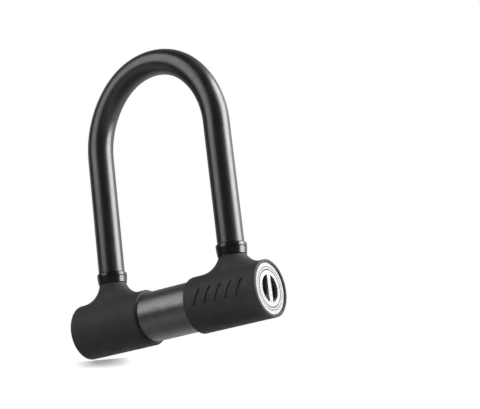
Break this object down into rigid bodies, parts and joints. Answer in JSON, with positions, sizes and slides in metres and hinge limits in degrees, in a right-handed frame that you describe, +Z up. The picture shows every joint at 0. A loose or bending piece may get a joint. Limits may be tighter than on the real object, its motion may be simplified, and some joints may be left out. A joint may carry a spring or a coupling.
{
  "type": "u lock",
  "caption": "Compact bicycle U lock: a straight-legged bent rod shackle drops into a round rubber-booted crossbar and is held by two key-driven sliding bolts.",
  "frame": {"origin": "under the middle of the crossbar, at the level of its lowest point, midway between the two legs", "axes": "+Z up the legs of the shackle, +X along the crossbar towards the key face, +Y square to the plane of the U"},
  "size_m": [0.1186, 0.0296, 0.1592],
  "materials": {
    "satin_black_steel": "satin black powder coat",
    "gloss_black": "gloss black moulding",
    "dark_steel_tube": "satin dark steel, fine lengthwise grain",
    "sleeve_rubber": "matte black rubber",
    "seal_rubber": "smooth black rubber",
    "plain_steel": "turned steel",
    "spring_steel": "spring steel",
    "zinc_casting": "zinc die casting",
    "brass": "turned brass",
    "bright_steel": "bright satin steel",
    "black_plate": "deep matte black"
  },
  "bodies": {
    "crossbar": {"crossbar_tube": "dark_steel_tube", "left_sleeve": "sleeve_rubber", "right_sleeve": "sleeve_rubber", "foot_seals": "seal_rubber", "left_end_plug": "plain_steel", "end_roll_pin": "spring_steel", "carrier_roll_pins": "spring_steel", "left_foot_socket": "zinc_casting", "right_foot_socket": "zinc_casting", "bolt_carrier": "zinc_casting", "cylinder_housing": "brass", "cylinder_set_screw": "plain_steel", "driver_pins": "plain_steel", "pin_springs": "spring_steel", "chamber_caps": "brass", "face_ring": "bright_steel", "keyway_plate": "black_plate", "spring_washer": "spring_steel"},
    "shackle": {"shackle": "satin_black_steel", "left_collar": "gloss_black", "right_collar": "gloss_black"},
    "dust_cover": {"dust_cover": "bright_steel"},
    "lock_plug": {"lock_plug": "brass", "key_pins": "brass", "plug_clip": "spring_steel", "cam_barrel": "plain_steel"},
    "left_bolt": {"left_bolt": "plain_steel", "left_bolt_pin": "plain_steel"},
    "right_bolt": {"right_bolt": "plain_steel", "right_bolt_pin": "plain_steel"}
  },
  "joints": [
    {"name": "shackle_slide", "type": "slide", "parent": "crossbar", "child": "shackle", "axis": [0, 0, 1], "range_m": [0, 0.04]},
    {"name": "cover_turn", "type": "hinge", "parent": "crossbar", "child": "dust_cover", "pos_m": [0.0583, 0, 0.0148], "axis": [1, 0, 0], "range_deg": [0, 90]},
    {"name": "key_turn", "type": "hinge", "parent": "crossbar", "child": "lock_plug", "pos_m": [0.045, 0, 0.0102], "axis": [1, 0, 0], "range_deg": [0, 90]},
    {"name": "left_bolt_slide", "type": "slide", "parent": "crossbar", "child": "left_bolt", "axis": [-1, 0, 0], "range_m": [0, 0.0045]},
    {"name": "right_bolt_slide", "type": "slide", "parent": "crossbar", "child": "right_bolt", "axis": [1, 0, 0], "range_m": [0, 0.0045]}
  ],
  "couplings": [
    {"joint": "left_bolt_slide", "follows": "key_turn", "m_per_rad": 0.0028647},
    {"joint": "right_bolt_slide", "follows": "key_turn", "m_per_rad": 0.0028647}
  ]
}
